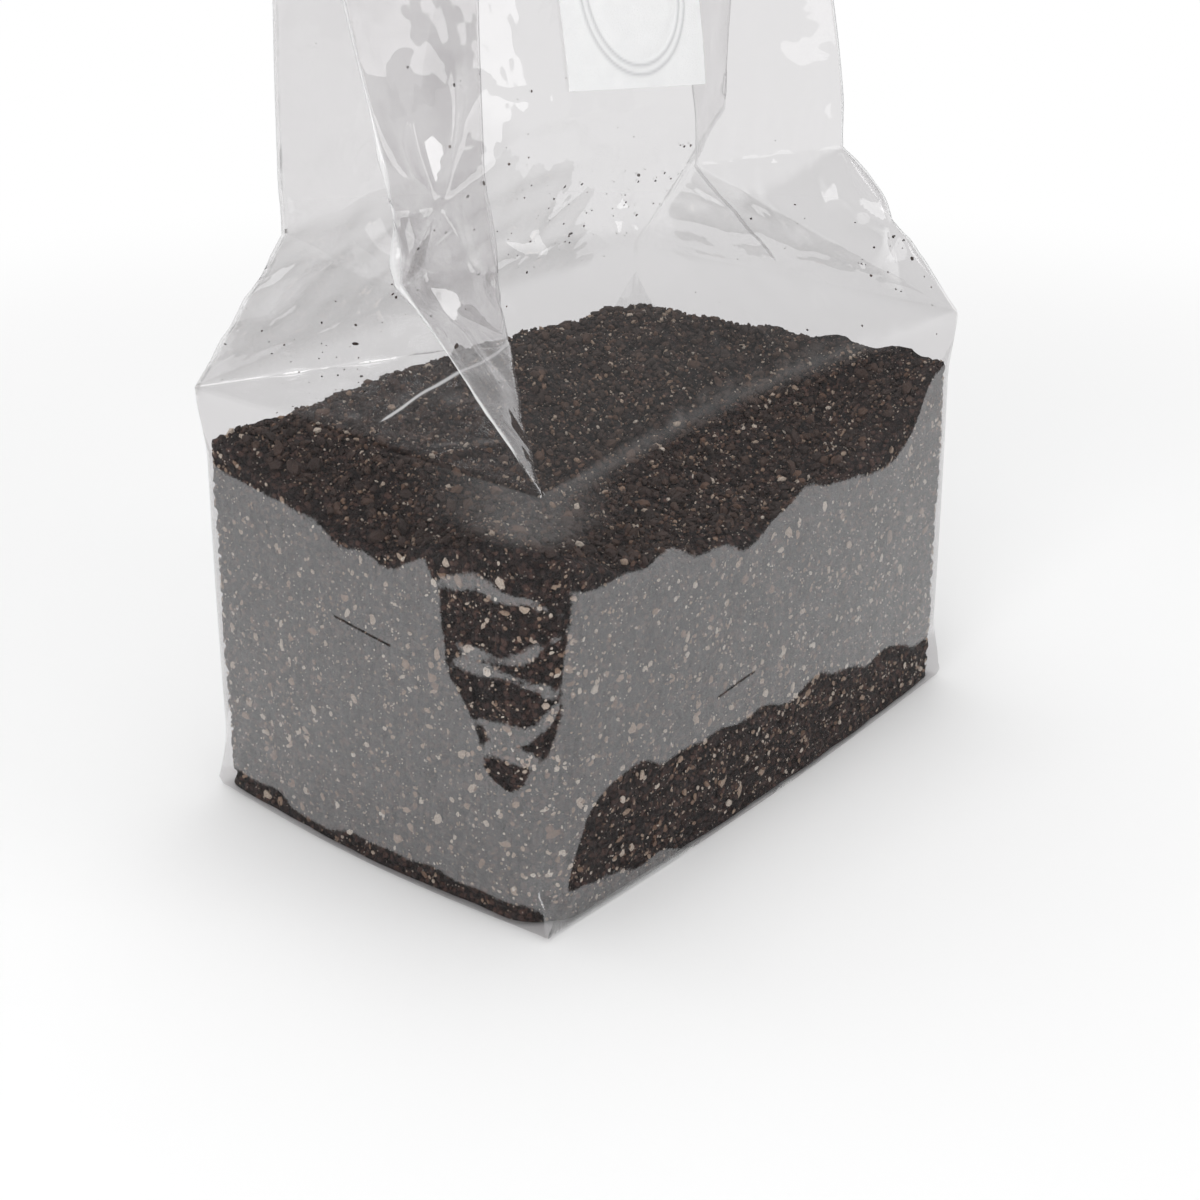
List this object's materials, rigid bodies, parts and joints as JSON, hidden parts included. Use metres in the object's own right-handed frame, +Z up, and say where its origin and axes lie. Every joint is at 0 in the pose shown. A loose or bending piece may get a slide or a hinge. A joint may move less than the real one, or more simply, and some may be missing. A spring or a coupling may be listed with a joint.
{
  "type": "substrate bag",
  "caption": "Side-gusseted bag of clear film with a white filter patch, open at the mouth, standing on a block of moist dark substrate.",
  "frame": {"origin": "middle of the base, at the bottom of the whole part", "axes": "+X along the front panel to its right, +Y from the front panel to the back panel, +Z up"},
  "size_m": [0.214, 0.14, 0.4002],
  "materials": {
    "clear_film": "clear glossy polypropylene film with fine creases, misted inside against the substrate",
    "filter_membrane": "matte white microporous membrane with a double weld ring",
    "substrate": "moist crumbly dark substrate with small pale flakes"
  },
  "bodies": {
    "root": {"bag_film": "clear_film", "filter_patch": "filter_membrane", "substrate_fill": "substrate"}
  },
  "joints": []
}
